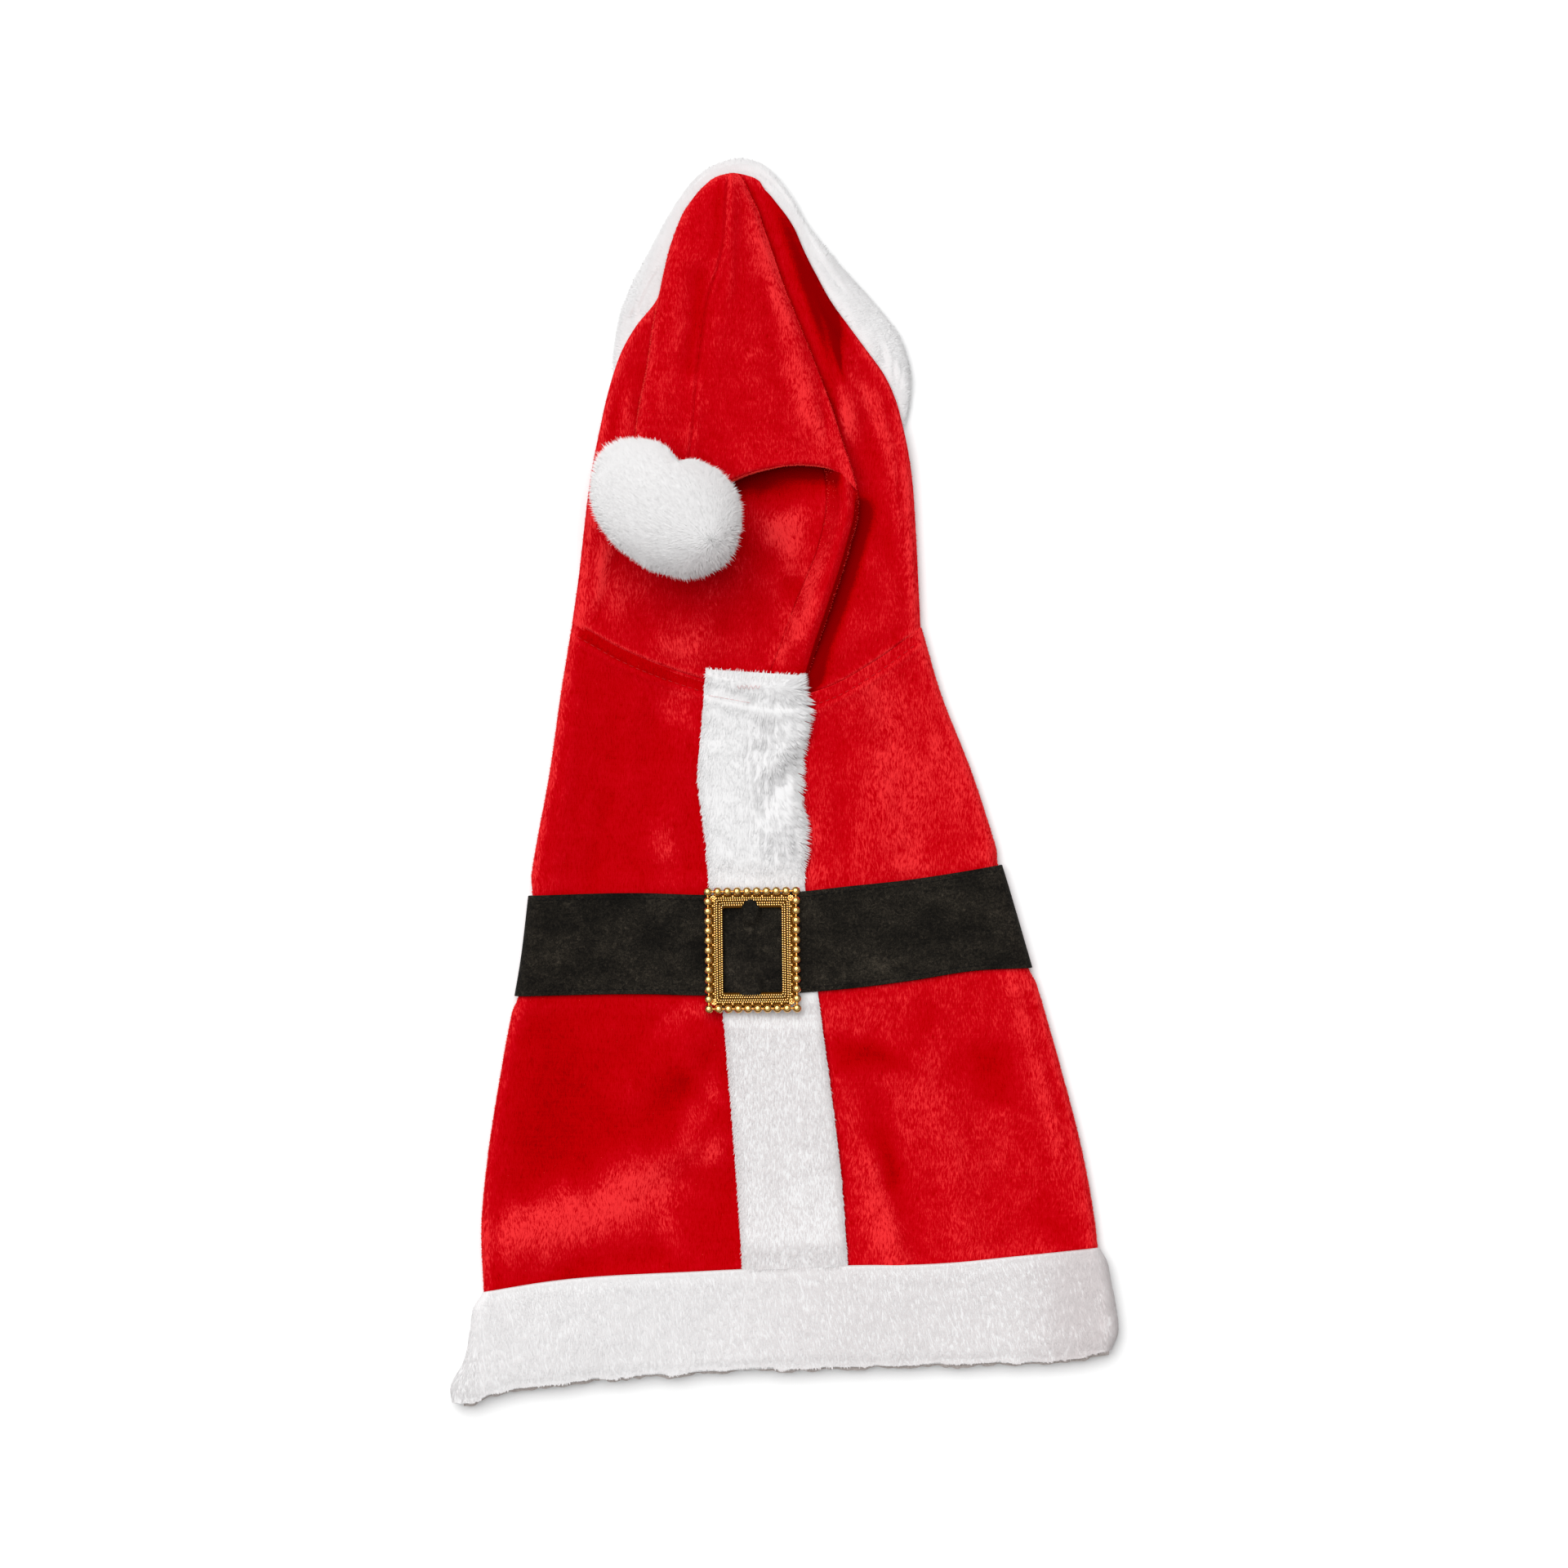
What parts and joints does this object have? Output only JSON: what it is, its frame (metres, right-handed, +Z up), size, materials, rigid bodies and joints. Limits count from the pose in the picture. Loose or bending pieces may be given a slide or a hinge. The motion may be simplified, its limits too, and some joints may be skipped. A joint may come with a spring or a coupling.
{
  "type": "dog santa costume",
  "caption": "Hooded plush coat for a small dog, laid flat back up, with white fur trim, a felt belt with a beaded buckle, and a pompom on the folded crown.",
  "frame": {"origin": "middle of the floor that the laid coat covers, on the surface it lies on", "axes": "+X to the right seen from above, +Y from the hem towards the hood, +Z up from the surface"},
  "size_m": [0.2781, 0.517, 0.0622],
  "materials": {
    "velour": "short brushed red plush with a soft sheen",
    "velour_underside": "short brushed red plush",
    "fur": "short dense white faux fur",
    "felt": "matte black felt",
    "buckle_gold": "vacuum plated gold plastic"
  },
  "bodies": {
    "root": {"back_panel": "velour", "belly_panel": "velour_underside", "hood_left": "velour", "hood_right": "velour", "crown_left": "velour", "crown_right": "velour", "hood_trim": "fur", "centre_strip": "fur", "hem_band": "fur", "belt": "felt", "buckle": "buckle_gold", "pompom": "fur"}
  },
  "joints": []
}
